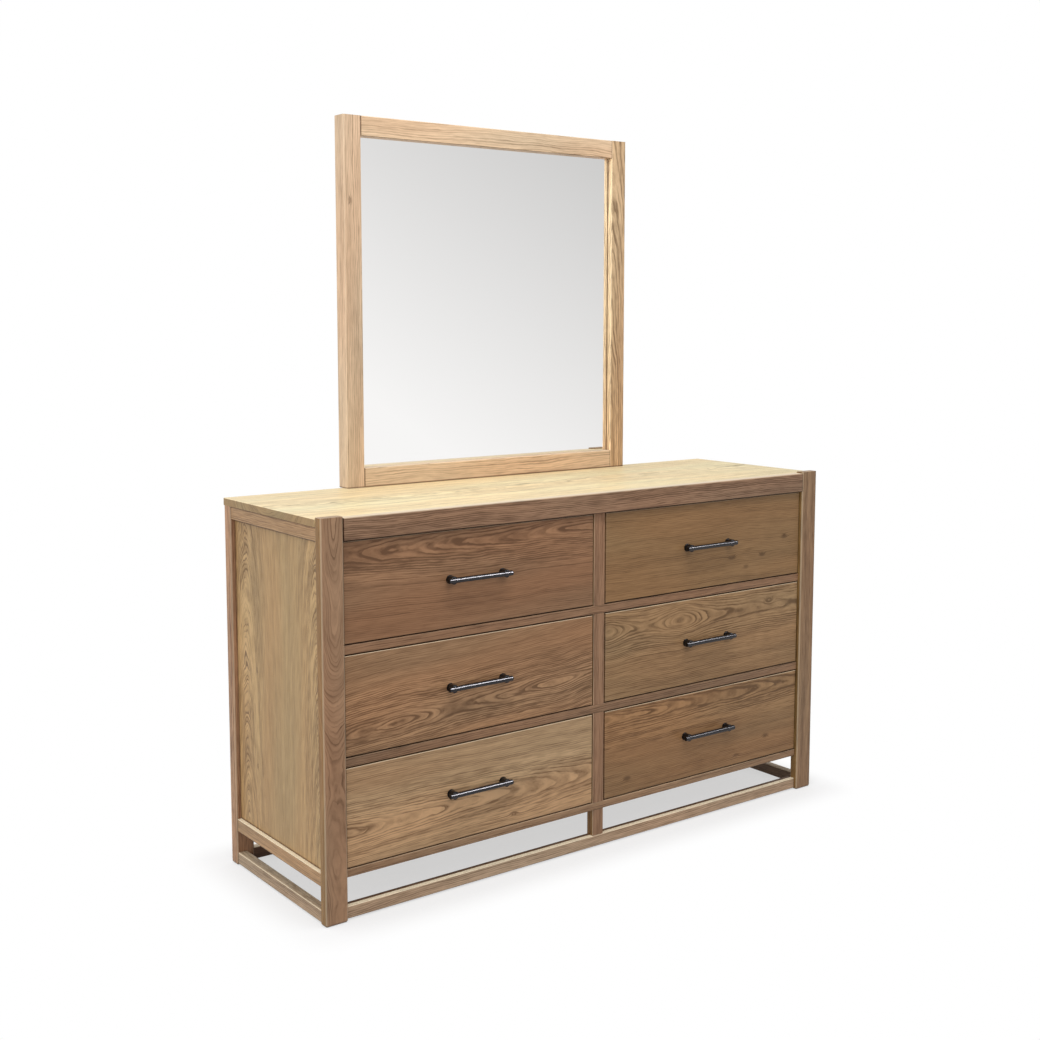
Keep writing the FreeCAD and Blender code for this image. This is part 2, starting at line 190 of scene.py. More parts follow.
class Shade:
    """A shader socket in a sum: each operator adds one Math node."""

    def __init__(self, finish, socket):
        self.finish = finish
        self.socket = socket

    def maths(self, operation, *others):
        """Applies a Math node's operation to this value and others."""
        terms = dict(enumerate((self, *others)))
        return self.finish.node("ShaderNodeMath", {"operation": operation}, terms)

    __add__ = __radd__ = partialmethod(maths, "ADD")
    __sub__ = partialmethod(maths, "SUBTRACT")
    __mul__ = __rmul__ = partialmethod(maths, "MULTIPLY")
    __truediv__ = partialmethod(maths, "DIVIDE")
    __pow__ = partialmethod(maths, "POWER")
    __abs__ = partialmethod(maths, "ABSOLUTE")
    most = partialmethod(maths, "MAXIMUM")

    def __rsub__(self, other):
        return self.maths("MULTIPLY_ADD", -1.0, other)

    def __rtruediv__(self, other):
        return self ** -1.0 * other


class Finish:
    """A material, or the world, while its nodes are put together."""

    def __init__(self, owner):
        owner.use_nodes = True
        self.owner = owner
        self.tree = owner.node_tree
        self.tree.nodes.clear()

    def node(self, kind, settings=None, sockets=None, out=0):
        """Adds a node, sets it up, feeds its sockets and gives the socket that it puts out."""
        node = self.tree.nodes.new(kind)
        for name, value in (settings or {}).items():
            setattr(node, name, value)
        for name, value in (sockets or {}).items():
            if isinstance(value, Shade):
                self.tree.links.new(value.socket, node.inputs[name])
            else:
                node.inputs[name].default_value = value
        return Shade(self, node.outputs[out]) if len(node.outputs) else node

    def split(self, vector):
        """The three parts of a vector."""
        first = self.node("ShaderNodeSeparateXYZ", sockets={"Vector": vector})
        return [Shade(self, socket) for socket in first.socket.node.outputs]

    def place(self):
        """The three coordinates of a point on the piece at rest, in metres."""
        return self.split(self.node("ShaderNodeTexCoord", out="Object"))

    def facing(self):
        """The three parts of the direction that a point on the piece at rest faces."""
        return self.split(self.node("ShaderNodeTexCoord", out="Normal"))

    def noise(self, place, pace, shift=(0.0, 0.0, 0.0), detail=2.0):
        """Smooth noise, mostly between 0.3 and 0.7: pace bumps to the metre each way, moved by shift."""
        parts = [part * step + move if move else part * step for part, step, move in zip(place, pace, shift)]
        vector = self.node("ShaderNodeCombineXYZ", sockets=dict(zip("XYZ", parts)))
        return self.node("ShaderNodeTexNoise", {"noise_dimensions": "3D"},
                         {"Vector": vector, "Scale": 1.0, "Detail": detail, "Roughness": 0.5})

    def chance(self, whole):
        """A number from 0 to 1 for each whole number."""
        return self.node("ShaderNodeTexWhiteNoise", {"noise_dimensions": "1D"}, {"W": whole})

    def ease(self, value, low, high):
        """A soft step from 0 at low to 1 at high."""
        return self.ramp(value, low, high, 0.0, 1.0, "SMOOTHSTEP")

    def ramp(self, value, low, high, start, end, kind="LINEAR"):
        """A slope from start at low to end at high, level outside."""
        return self.node("ShaderNodeMapRange", {"clamp": True, "interpolation_type": kind},
                         {"Value": value, "From Min": low, "From Max": high,
                          "To Min": start, "To Max": end})

    def mix(self, factor, first, second, blend="MIX"):
        """Mixes two colours."""
        settings = {"data_type": "RGBA", "blend_type": blend, "clamp_factor": True}
        return self.node("ShaderNodeMix", settings, {0: factor, 6: opaque(first), 7: opaque(second)}, out=2)

    def stain(self, mask, tone, tint):
        """Multiplies a colour by a tint, as far as a mask says."""
        return self.mix(mask, tone, self.mix(1.0, tone, tint, "MULTIPLY"))

    def bump(self, height, strength, depth):
        """A normal that makes a height seen."""
        sockets = {"Strength": strength, "Distance": depth, "Height": height}
        return self.node("ShaderNodeBump", sockets=sockets)

    def surface(self, sockets):
        """Ends the material with a Principled shader."""
        shader = self.node("ShaderNodeBsdfPrincipled", sockets=sockets)
        self.node("ShaderNodeOutputMaterial", sockets={"Surface": shader})
        return self.owner


def opaque(value):
    """A plain colour with the fourth number that a colour socket wants."""
    return value if isinstance(value, Shade) else (*value, 1.0)


def new_finish(name):
    return Finish(bpy.data.materials.new(name))


def tinted(tone, tint):
    """A plain colour multiplied by a tint, none of it past full."""
    return [min(1.0, part * change) for part, change in zip(tone, tint)]


# Timber


class Log(NamedTuple):
    """How a board lies in its log, and how it has aged."""
    axes: str = "xzy"  # along the grain, across the face, into the face
    across: float = 0.0  # heart of the log from the middle of the board, across the face
    behind: float = 0.05  # the same, into the face
    lean: float = 0.0  # how fast the heart falls away from the face along the grain
    sway: float = 0.0  # how fast the heart moves across the face along the grain
    eyes: tuple = ()  # (along, reach, lift) of each place where the heart nears the face
    steps: tuple = ()  # (low, high, lift) of each stretch where the heart rises for good
    fold: float | None = None  # where across the face two mirrored leaves of veneer meet
    wander: float = 0.010  # how far the heart strays from its line
    rings: float = 1.0  # ring width against the usual one
    figure: float = 1.0  # strength of the grain against the usual one
    calm: float = 0.0  # how far the grain calms down away from the heart
    seed: float = 0.0  # keeps one log apart from another
    tint: tuple = WHITE  # colour against the usual one
    knots: tuple = ()  # (along, across, size) of each knot, from the middle of the board
    end: tuple = (0.74, 0.68, 0.62)  # colour of the end grain against the face
    flank: tuple = WHITE  # colour of the narrow sides against the face
    jamb: tuple = WHITE  # colour of the side that meets the glass against the other, as painted light
    ledge: float = 1.0  # painted light on the faces that look up, against the usual
    speck: float = 0.0  # how far that painted light is broken into specks, as painted highlights
    worn: float = 1.0  # wear and painted highlight on the rounded edges, against the usual
    gap: float = 0.0  # 1 where the upper edges lie in a gap and get painted shade, 0 where open
    seam: tuple = (0.0, 0.0)  # width of the dark lines at the ends and sides of the face: dark joints, and painted shadow where another board shades it
    foot: float = 0.0  # width of the painted contact shadow along the foot
    inner: tuple | None = None  # direction of a face painted dark as shade under the case
    shade: float | None = None  # depth from which the face that looks up is painted dark as shade
    rebate: tuple | None = None  # side across the face, 1 or -1, and depth where the glass meets it, where a painted shadow line runs


# Bumps of each noise to the metre, first along the grain
STRAY_PACE = (2.3, 0.0, 0.0)
DRIFT_PACE = (2.9, 0.0, 0.0)
SWELL_PACE = (4.0, 13.0, 13.0)
JAG_PACE = (26.0, 48.0, 48.0)
PATCH_PACE = (6.0, 90.0, 18.0)
BAND_PACE = (2.4, 75.0, 5.0)
STREAK_PACE = (24.0, 330.0, 22.0)
FIBRE_PACE = (60.0, 1700.0, 170.0)
DASH_PACE = (13.0, 190.0, 55.0)
WARMTH_PACE = (1.6, 9.0, 9.0)
SPECK_PACE = (45.0, 250.0, 250.0)
RING_PACE = (70.0, 0.0, 0.0)

# Metres by which rings swell, fray and crowd
SWELL, JAG, CROWDING = 0.014, 0.0032, 0.006

# How much each mark darkens the board, how dark it is between them, and the mean of all marks
EARLY_DARK, BAND_DARK, STREAK_DARK, PORE_DARK, DASH_DARK, KNOT_DARK = 0.86, 0.42, 0.42, 0.24, 0.32, 0.55
PLAIN_DARK, MEAN_GRAIN = 0.26, 0.19
EARLY_RISE, EARLY_END = 0.12, 0.60
CALM_SPAN = (0.03, 0.10)
PALE_LIFT = 0.75
DEEP_TINT = (1.02, 0.92, 0.84)
COOL_TINT, WARM_TINT = (0.97, 1.01, 1.03), (1.04, 0.985, 0.95)

# Where a face counts as an arris, a slope, an end, a narrow side or a ledge, by a part of its direction
ARRIS_SPAN, SLOPE_SPAN, TURN_SPAN, END_SPAN = (0.80, 0.99), (0.20, 0.60), (0.30, 0.60), (0.85, 0.97)
FLANK_SPAN, LEDGE_SPAN, INNER_SPAN = (0.60, 0.90), (0.90, 0.99), (0.5, 0.9)
# Tint for dark joints and for painted shade: under edges, in gaps, at feet, under the case and where the
# glass meets the frame.
DIRT_AND_SHADE_TINT = (0.30, 0.24, 0.21)
INNER_SHADE = 0.85
SHADE_BLUR = 0.001
REBATE_BLUR = (0.0035, 0.002)
GAP_START = 0.004


def board_box(axes, nodes):
    """Middle and half size of the box round some CAD nodes, in a board's own directions."""
    corners = [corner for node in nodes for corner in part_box(node)]
    low = Vector(map(min, zip(*corners)))
    high = Vector(map(max, zip(*corners)))
    middle = dict(zip("xyz", (low + high) / 2))
    half = dict(zip("xyz", (high - low) / 2))
    return [middle[axis] for axis in axes], [half[axis] for axis in axes]


def board_directions(finish, axes, nodes):
    """Distances from the middle of a board along its grain, across its face and into its face."""
    middle = board_box(axes, nodes)[0]
    point = dict(zip("xyz", finish.place()))
    return [point[axis] - start for axis, start in zip(axes, middle)]


def growth(finish, log, face, place):
    """Distance from the heart of the log, bent as the wood grew, and the dark of its knots."""
    along, across, into = place
    stray = finish.noise((along, 0.0, 0.0), STRAY_PACE, (log.seed, log.seed * 1.7, 0.5))
    drift = finish.noise((along, 0.0, 0.0), DRIFT_PACE, (log.seed, log.seed * 2.3, 7.5))
    swell = finish.noise(place, SWELL_PACE, (log.seed, 0.0, log.seed))
    jag = finish.noise(place, JAG_PACE, (0.0, log.seed, 0.0))
    side = face - (log.across + log.sway * along + log.wander * 2.0 * (stray - 0.5))
    depth = into + (log.behind + log.lean * along + log.wander * 2.0 * (drift - 0.5))
    for eye_along, reach, lift in log.eyes:
        near = (along - eye_along) / reach
        depth = depth - lift / (1.0 + near * near)
    for low, high, lift in log.steps:
        depth = depth - lift * finish.ease(along, low, high)
    radius = (side * side + depth * depth) ** 0.5
    radius = radius + SWELL * (swell - 0.5) + JAG * (jag - 0.5)
    dark = None
    for knot_along, knot_across, knot_size in log.knots:
        reach = (along - knot_along) / (knot_size * 2.0)
        rise = (across - knot_across) / knot_size
        pull = 1.0 / (1.0 + reach * reach + rise * rise)
        radius = radius + 1.2 * knot_size * pull * pull
        spot = finish.ease(pull, 0.35, 0.95)
        dark = spot if dark is None else dark + spot
    return radius, dark


def oak(name, base, log, nodes):
    """Open-grained oak with a satin lacquer, its rings cut as the log's place gives them."""
    timber = bpy.context.scene.dresser_timber
    finish = new_finish(name)
    place = along, across, into = board_directions(finish, log.axes, nodes)
    face = across if log.fold is None else abs(across - log.fold) + log.fold
    radius, knots = growth(finish, log, face, place)
    cut = (along, radius, across)

    # Early wood starts sharply and fades into late wood, and no two rings are alike
    uneven = finish.noise((radius, 0.0, 0.0), RING_PACE, (log.seed, log.seed, 3.0))
    count = (radius + CROWDING * (uneven - 0.5)) / (timber.ring_width * log.rings)
    ring = count.maths("FLOOR")
    phase = count - ring
    patch = finish.ease(finish.noise(cut, PATCH_PACE, (log.seed, 0.0, 0.0)), 0.35, 0.62)
    strength = (0.25 + 0.75 * finish.chance(ring + log.seed)) * (0.45 + 0.70 * patch)
    rise, fall = finish.ease(phase, 0.0, EARLY_RISE), finish.ease(phase, EARLY_RISE, EARLY_END)
    early = (1.0 - fall) * rise * strength

    # Bands, streaks and pores run along the rings
    band = finish.ease(finish.noise(cut, BAND_PACE, (0.0, log.seed, 0.0)), 0.28, 0.72)
    streak = finish.ease(finish.noise(cut, STREAK_PACE, (0.0, 0.0, log.seed), detail=3.0), 0.3, 0.7)
    fibre = finish.noise(cut, FIBRE_PACE, detail=1.0)
    pores = finish.ease(fibre, 0.55, 0.68) * (0.35 + 0.65 * early)
    dashes = finish.ease(finish.noise(cut, DASH_PACE, (log.seed, 0.0, 0.0)), 0.60, 0.72)

    grain = (EARLY_DARK * early + BAND_DARK * (band - 0.5) + STREAK_DARK * (streak - 0.5)
             + PORE_DARK * pores + DASH_DARK * dashes)
    if log.calm:
        still = 1.0 - log.calm * finish.ease(abs(face - log.across), *CALM_SPAN)
        grain = MEAN_GRAIN + (grain - MEAN_GRAIN) * still
    dark = PLAIN_DARK + log.figure * grain
    if knots is not None:
        dark = dark + knots * KNOT_DARK
    usual = [part * tint for part, tint in zip(base, log.tint)]
    pale = tinted(usual, [1 + PALE_LIFT * timber.grain_depth] * 3)
    deep = tinted(usual, [(1 - timber.grain_depth) * warm for warm in DEEP_TINT])
    tone = finish.mix(dark, pale, deep)
    warmth = finish.ease(finish.noise(place, WARMTH_PACE, (log.seed, 0.0, 0.0), detail=1.0), 0.3, 0.7)
    tone = finish.mix(1.0, tone, finish.mix(warmth, COOL_TINT, WARM_TINT), "MULTIPLY")
    tone = weather(finish, tone, log, place, board_box(log.axes, nodes)[1])

    rough = timber.gloss_low + (timber.gloss_high - timber.gloss_low) * pores + 0.08 * (streak - 0.5)
    bump = finish.bump(1.0 - pores - 0.3 * early, 0.5, timber.pore_depth)
    return finish.surface({"Base Color": tone, "Roughness": rough, "Normal": bump, "IOR": 1.46,
                           "Specular IOR Level": 0.3})


def weather(finish, tone, log, place, half):
    """Darker end grain, painted light on faces that look up, wear and painted highlight on rounded edges,
    dark joints, and painted shade under edges, in gaps, at feet, under the case and by the glass.
    """
    timber = bpy.context.scene.dresser_timber
    along, across, into = place
    facing = dict(zip("xyz", finish.facing()))
    square = {axis: abs(part) for axis, part in facing.items()}
    arris = 1.0 - finish.ease(square["x"].most(square["y"].most(square["z"])), *ARRIS_SPAN)
    up = finish.ease(facing["z"], *SLOPE_SPAN)
    down = finish.ease(0.0 - facing["z"], *SLOPE_SPAN)
    lengthwise = square[log.axes[0]]
    # Edges that face down or end the board, and upper edges in gaps, get dark joints and painted shade
    # instead of wear
    tucked = down.most(finish.ease(lengthwise, *TURN_SPAN)) * (1.0 - up)
    if log.gap:
        tucked = tucked + up * finish.ease(across, 0.0, GAP_START) * log.gap

    # Narrow sides and ends, and painted light on the side that meets the glass
    tone = finish.stain(finish.ease(square[log.axes[1]], *FLANK_SPAN), tone, log.flank)
    if log.rebate:
        turn, depth = log.rebate
        inside = finish.ease(facing[log.axes[1]] * turn, *FLANK_SPAN)
        tone = finish.stain(inside, tone, log.jamb)
    tone = finish.stain(finish.ease(lengthwise, *END_SPAN), tone, log.end)

    # Painted light on faces that look up, and wear with painted highlight on rounded edges
    top = finish.ease(facing["z"], *LEDGE_SPAN)
    ledge = top * timber.ledge_light * log.ledge
    # Where the top face lies under the case it gets painted shade instead of painted light
    if log.shade is not None:
        hidden = top * finish.ease(into, log.shade - SHADE_BLUR, log.shade + SHADE_BLUR)
        ledge = ledge * (1.0 - hidden)
    if log.speck:
        ledge = ledge * finish.ramp(finish.noise(place, SPECK_PACE), 0.38, 0.60, 1.0 - log.speck, 1.0)
    worn = (arris * (1.0 - tucked) * timber.arris_wear_and_sheen * log.worn).most(ledge)
    tone = finish.mix(worn, tone, timber.faded_and_lit)

    # Dark joints, and painted shade under edges, in gaps, at feet, under the case and where the glass meets
    # the frame
    dirt_and_shade = arris * tucked * timber.joint_dirt_and_shade
    # Dark joint lines, and painted shadow lines where another board shades the face
    for distance, reach, width in zip((along, across), half, log.seam):
        if width:
            line = finish.ease(abs(distance), reach - width, reach - width / 3)
            dirt_and_shade = dirt_and_shade.most(line * timber.joint_dirt_and_shade)
    # Painted contact shadow along the foot
    if log.foot:
        upright = log.axes.index("z")
        line = 1.0 - finish.ease(half[upright] + place[upright], log.foot / 3, log.foot)
        dirt_and_shade = dirt_and_shade.most(line * timber.joint_dirt_and_shade)
    if log.shade is not None:
        dirt_and_shade = dirt_and_shade.most(hidden)
    # Painted shadow line where the glass meets the frame
    if log.rebate:
        start, end = REBATE_BLUR
        dirt_and_shade = dirt_and_shade.most(inside * finish.ease(into, depth - start, depth - end))
    # Painted shade on faces that look into the dark under the case
    if log.inner:
        dark = sum(facing[axis] * part for axis, part in zip("xyz", log.inner) if part)
        dirt_and_shade = dirt_and_shade.most(finish.ease(dark, *INNER_SPAN) * INNER_SHADE)
    return finish.stain(dirt_and_shade, tone, DIRT_AND_SHADE_TINT)


def plain_wood(name, base, axes, seed, nodes):
    """Pale close-grained wood, sanded and left without lacquer."""
    finish = new_finish(name)
    place = board_directions(finish, axes, nodes)
    bend = finish.noise(place, (3.0, 6.0, 6.0), (seed, 0.0, 0.0))
    rings = finish.noise(place, (1.2, 55.0, 55.0), (0.0, 2.5 * bend + seed, 0.0), detail=3.0)
    fibre = finish.noise(place, (30.0, 700.0, 700.0), (0.0, seed, 0.0), detail=1.0)
    dark = finish.ease(rings, 0.30, 0.72) * 0.75 + finish.ease(fibre, 0.35, 0.75) * 0.25
    tone = finish.mix(dark, tinted(base, [1.12] * 3), tinted(base, (0.80, 0.74, 0.66)))
    return finish.surface({"Base Color": tone, "Roughness": 0.62 + 0.15 * fibre,
                           "Normal": finish.bump(fibre, 0.3, 0.0001)})


def plywood(name, base, axes, ply, seed, nodes):
    """Veneered board: broad peeled figure on its faces, alternate plies along its edges."""
    finish = new_finish(name)
    place = along, across, into = board_directions(finish, axes, nodes)
    figure = finish.noise((along, across, 0.0), (0.9, 6.5, 0.0), (seed, 0.0, seed), detail=1.0)
    jag = finish.noise((along, across, 0.0), (14.0, 90.0, 0.0), (0.0, 0.0, seed))
    wave = (figure * 16.0 + 0.25 * jag).maths("FRACT")
    line = finish.ease(wave, 0.0, 0.15) * (1.0 - finish.ease(wave, 0.25, 0.95))
    fibre = finish.noise(place, (40.0, 800.0, 800.0), (0.0, 0.0, seed), detail=1.0)
    layer = ((into / ply).maths("FLOOR") / 2.0).maths("FRACT") * 2.0
    dark = 0.25 + 0.45 * line + 0.30 * (fibre - 0.5)
    tone = finish.mix(dark, tinted(base, [1.10] * 3), tinted(base, (0.78, 0.72, 0.64)))
    tone = finish.stain(layer * 0.35, tone, (0.72, 0.62, 0.52))
    return finish.surface({"Base Color": tone, "Roughness": 0.58 + 0.15 * fibre,
                           "Normal": finish.bump(fibre, 0.3, 0.0001)})


def dress(nodes, material):
    """Gives CAD nodes a finish."""
    for node in nodes:
        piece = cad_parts[node]
        if not piece.material_slots:
            piece.data.materials.append(material)
        for place in piece.material_slots:
            place.material = material


def dress_in_oak(node, base, log):
    """Gives a CAD node oak from a log of its own."""
    dress([node], oak(f"oak_{node}", base, log, [node]))


FRONT_LOGS = {
    "upper_left": Log(
        across=0.080, behind=0.035, lean=-0.042, wander=0.009, seed=3.1, figure=1.3, calm=0.6,
        tint=(0.92, 0.88, 0.91)),
    "middle_left": Log(
        across=-0.042, behind=0.040, sway=0.06, wander=0.017, seed=11.7, figure=1.6, calm=0.6,
        tint=(1.13, 1.13, 1.15), eyes=((-0.19, 0.13, 0.020), (0.21, 0.15, 0.022))),
    "lower_left": Log(
        across=-0.030, behind=0.038, lean=0.050, wander=0.010, seed=21.3, figure=1.25, calm=0.5,
        tint=(1.46, 1.66, 1.79), knots=((0.103, -0.083, 0.007),)),
    "upper_right": Log(
        across=-0.30, behind=0.12, lean=0.01, wander=0.010, seed=31.9, figure=0.60,
        tint=(0.82, 0.84, 0.74), knots=((0.088, -0.041, 0.008), (0.198, -0.044, 0.007),
                                        (0.139, -0.070, 0.006), (0.281, -0.004, 0.007))),
    "middle_right": Log(
        across=0.058, behind=0.052, wander=0.006, seed=43.4, figure=1.25, calm=0.4,
        tint=(1.02, 1.11, 1.08), eyes=((-0.085, 0.07, 0.024), (-0.33, 0.07, 0.024)),
        knots=((0.228, 0.072, 0.010),)),
    "lower_right": Log(
        across=0.085, behind=0.034, lean=0.040, wander=0.010, seed=57.8, figure=1.5, calm=0.6,
        tint=(1.00, 1.00, 0.91),
        knots=((-0.264, -0.070, 0.007), (0.223, -0.051, 0.008), (0.114, -0.085, 0.006))),
}


class DRESSER_OT_drawer_fronts(bpy.types.Operator):
    """Oak fronts, each from a board of its own"""
    bl_idname = "dresser.drawer_fronts"
    bl_label = "Drawer Fronts"

    def execute(self, context):
        for name, log in FRONT_LOGS.items():
            # Wear and painted highlight on the rounded edges, no painted light on the upper narrow sides,
            # and painted shade on the narrow top and bottom sides in the gaps.
            log = log._replace(worn=2.5, ledge=0.0, flank=(0.66, 0.62, 0.58))
            dress_in_oak(f"drawer_front_{name}", context.scene.dresser_timber.front, log)
        return {"FINISHED"}


class DRESSER_OT_case(bpy.types.Operator):
    """Posts, legs, rails, stiles and stretchers of the case"""
    bl_idname = "dresser.case"
    bl_label = "Case"

    def execute(self, context):
        for node, log in (*self.uprights(), *self.lengths()):
            dress_in_oak(node, context.scene.dresser_timber.case, log)
        return {"FINISHED"}

    def uprights(self):
        """Posts, legs and stiles, their grain upright."""
        # Posts and legs get a little painted light on their upper ends.
        plain = Log(axes="zxy", across=0.090, behind=0.050, lean=0.020, wander=0.006,
                    flank=(0.76, 0.71, 0.44), ledge=0.15)
        leg = plain._replace(flank=(1.04, 1.04, 1.0))
        centre = plain._replace(across=0.14, tint=(0.9, 0.9, 0.9))
        yield "front_post_left", plain._replace(
            across=0.004, behind=0.090, lean=0.0, rings=0.5, wander=0.012, seed=10.0, figure=0.7,
            tint=(0.995, 1.02, 1.015), steps=((-0.10, 0.20, 0.050), (0.20, 0.46, 0.015)))
        yield "front_post_right", plain._replace(seed=17.0, tint=(0.85, 0.90, 0.86))
        yield "rear_leg_left", leg._replace(seed=8.0)
        yield "rear_leg_right", leg._replace(seed=15.0)
        yield "centre_stiles", centre._replace(seed=90.0)
        yield "centre_leg", centre._replace(seed=91.0)

    def lengths(self):
        """Rails and stretchers, their grain along them."""
        rail = Log(across=0.14, behind=0.09, lean=0.015, wander=0.007, figure=0.9, tint=(0.82, 0.80, 0.80),
                   seam=(0.002, 0.0))
        # Inner rails get painted shade on their upper edges in the gaps, and no painted light.
        inner = rail._replace(tint=(0.79, 0.77, 0.74), ledge=0.0, gap=0.5)
        # The top rail's upper face gets painted light.
        yield "front_top_rail", rail._replace(
            across=0.10, behind=0.05, seed=60.0, wander=0.010, figure=1.2, ledge=0.63,
            tint=(0.80, 0.83, 0.86))
        yield "drawer_rail_upper", inner._replace(seed=65.0)
        yield "drawer_rail_lower", inner._replace(seed=70.0, tint=(0.78, 0.80, 0.79))
        yield "bottom_rail", inner._replace(seed=75.0, tint=(0.92, 0.97, 0.95), gap=0.0)
        # The front stretcher: painted light and highlight specks at the front of its top, painted shade
        # behind them and on its back face.
        yield "front_stretcher", rail._replace(
            seed=80.0, tint=(1.44, 1.74, 1.98), inner=(0, 1, 0), shade=-0.001, speck=0.15, worn=3.5)
        # The rear stretcher's front face gets painted shade under the case.
        yield "rear_stretcher", rail._replace(seed=85.0, inner=(0, -1, 0))
        # Side rails: painted shade in the upper gap, dark joint lines at their ends, painted shadow lines
        # along their upper and lower edges, and wear with painted highlight on their edges.
        side = Log(axes="yzx", across=0.12, behind=0.070, wander=0.006, figure=0.9, tint=(1.10, 1.17, 1.00),
                   gap=1.0, seam=(0.002, 0.0035), worn=4.2)
        # Side stretchers: weak painted light in specks on their tops, wear with painted highlight on their
        # edges, and painted shade on their inner faces.
        low = side._replace(tint=(1.06, 1.30, 1.42), gap=0.0, seam=(0.002, 0.0), ledge=0.3, speck=0.7,
                            worn=2.5)
        for count, (turn, hand) in enumerate(((1, "left"), (-1, "right"))):
            yield f"side_rails_{hand}", side._replace(seed=50.0 + count)
            yield f"side_stretcher_{hand}", low._replace(seed=54.0 + count, inner=(turn, 0, 0))


class DRESSER_OT_top(bpy.types.Operator):
    """Top board"""
    bl_idname = "dresser.top"
    bl_label = "Top"

    def execute(self, context):
        # The pale top is partly painted light from above; its end grain is made much darker, as end grain
        # and painted shade.
        log = Log(axes="xyz", behind=-0.10, wander=0.020, seed=13.0, figure=0.65, tint=(1.025, 1.025, 1.03),
                  end=(0.45, 0.36, 0.27), ledge=0.0)
        dress_in_oak("top_board", context.scene.dresser_timber.top, log)
        return {"FINISHED"}


class DRESSER_OT_sides(bpy.types.Operator):
    """Veneered side panels"""
    bl_idname = "dresser.sides"
    bl_label = "Side Panels"

    def execute(self, context):
        # The panels get painted shadow lines along their edges, under the rails and beside the posts and
        # legs.
        log = Log(axes="zyx", across=0.150, behind=0.060, lean=0.10, fold=-0.020, wander=0.005, rings=0.36,
                  figure=1.25, calm=0.6, tint=(1.03, 1.01, 0.965), seam=(0.006, 0.004),
                  knots=((-0.203, 0.106, 0.004), (0.02, 0.10, 0.005)))
        base = context.scene.dresser_timber.panel
        for count, side in enumerate(COLUMNS):
            dress_in_oak(f"side_panel_{side}", base, log._replace(seed=17.0 + count))
        return {"FINISHED"}


# Mirror stiles: a little painted light on faces that look up, and a painted contact shadow along their foot
# on the top.
MIRROR_STILE = Log(axes="zxy", behind=0.060, wander=0.006, flank=(1.10, 1.08, 1.04), ledge=0.15, foot=0.004)
MIRROR_STILES = {
    "left": MIRROR_STILE._replace(
        across=0.05, lean=0.010, seed=71.0, figure=0.6, tint=(0.91, 0.96, 1.02),
        knots=((0.244, -0.008, 0.006),)),
    # The right stile's side by the glass is made much lighter as painted light.
    "right": MIRROR_STILE._replace(
        across=-0.030, lean=0.08, rings=1.5, seed=72.0, figure=1.1, tint=(0.86, 0.85, 0.78),
        jamb=(1.60, 1.78, 1.95)),
}
# Mirror rails: dark joint lines at their ends, a painted contact shadow along the bottom rail's foot, and a
# little painted light on faces that look up.
MIRROR_RAILS = Log(behind=0.4, wander=0.012, seed=83.0, figure=0.6, tint=(0.97, 1.02, 1.05),
                   seam=(0.0025, 0.0), foot=0.005, ledge=0.15)


class DRESSER_OT_mirror(bpy.types.Operator):
    """Mirror frame and glass"""
    bl_idname = "dresser.mirror"
    bl_label = "Mirror"

    def execute(self, context):
        base = context.scene.dresser_timber.mirror
        glass_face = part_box("mirror_glass")[0].y
        for turn, side in ((1.0, "left"), (-1.0, "right")):
            node = f"mirror_stile_{side}"
            low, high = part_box(node)
            # The rebate places the painted light on the right stile's side by the glass, and a painted
            # shadow line where the glass meets each stile.
            log = MIRROR_STILES[side]._replace(rebate=(turn, glass_face - (low.y + high.y) / 2))
            dress_in_oak(node, base, log)
        dress_in_oak("mirror_rails", base, MIRROR_RAILS)
        finish = new_finish("silvered_glass")
        haze = finish.noise(finish.place(), [9.0] * 3, detail=4.0)
        silvering = opaque(context.scene.dresser_fittings.silvering)
        glass = finish.surface({"Base Color": silvering, "Metallic": 1.0,
                                "Roughness": 0.004 + 0.02 * finish.ease(haze, 0.5, 0.9)})
        dress(["mirror_glass"], glass)
        return {"FINISHED"}


class DRESSER_OT_plain_wood(bpy.types.Operator):
    """Drawer boxes, bearers, back and the battens behind the mirror"""
    bl_idname = "dresser.plain_wood"
    bl_label = "Plain Wood"

    def execute(self, context):
        timber = context.scene.dresser_timber
        for count, name in enumerate(DRAWERS):
            self.pale(timber, f"drawer_sides_{name}", "yzx", 100.0 + count)
            self.pale(timber, f"drawer_back_{name}", "xzy", 110.0 + count)
            self.veneered(timber, f"drawer_bottom_{name}", "xyz", 0.0012, 120.0 + count)
        bearers = ["drawer_runners", "drawer_guides"]
        dress(bearers, plain_wood("pale_bearers", timber.box, "yzx", 130.0, bearers))
        self.pale(timber, "rear_rails", "xzy", 140.0)
        self.pale(timber, "mirror_supports", "zxy", 150.0)
        self.veneered(timber, "back_panel", "zxy", 0.0010, 160.0)
        self.veneered(timber, "mirror_backing", "zxy", 0.0010, 161.0)
        return {"FINISHED"}

    def pale(self, timber, node, axes, seed):
        dress([node], plain_wood(f"pale_{node}", timber.box, axes, seed, [node]))

    def veneered(self, timber, node, axes, ply, seed):
        dress([node], plywood(f"plywood_{node}", timber.plywood, axes, ply, seed, [node]))


# Metal

SHARP_EDGE = math.radians(35)

# A pan head from its crown to its seat, and the cross recess in it, against the head's radius and height
PAN_PROFILE = ((0.0, 1.0), (0.55, 0.96), (0.80, 0.82), (0.95, 0.52), (1.0, 0.20), (0.97, 0.0))
RECESS_ARM, RECESS_HALF, RECESS_TAPER = 0.62, 0.13, 0.6
RECESS_FLOOR, RECESS_BRIM = 0.35, 1.05

# A plate's corners against half its width, and its eased edge against its thickness
PLATE_BEND, PLATE_EASE = 0.6, 0.3
PLATE_STEPS = 6
PIN_STEPS, PIN_SIDES, PIN_CROWN = 5, 16, 0.5
NEAR, TINY = 1e-6, 1e-7


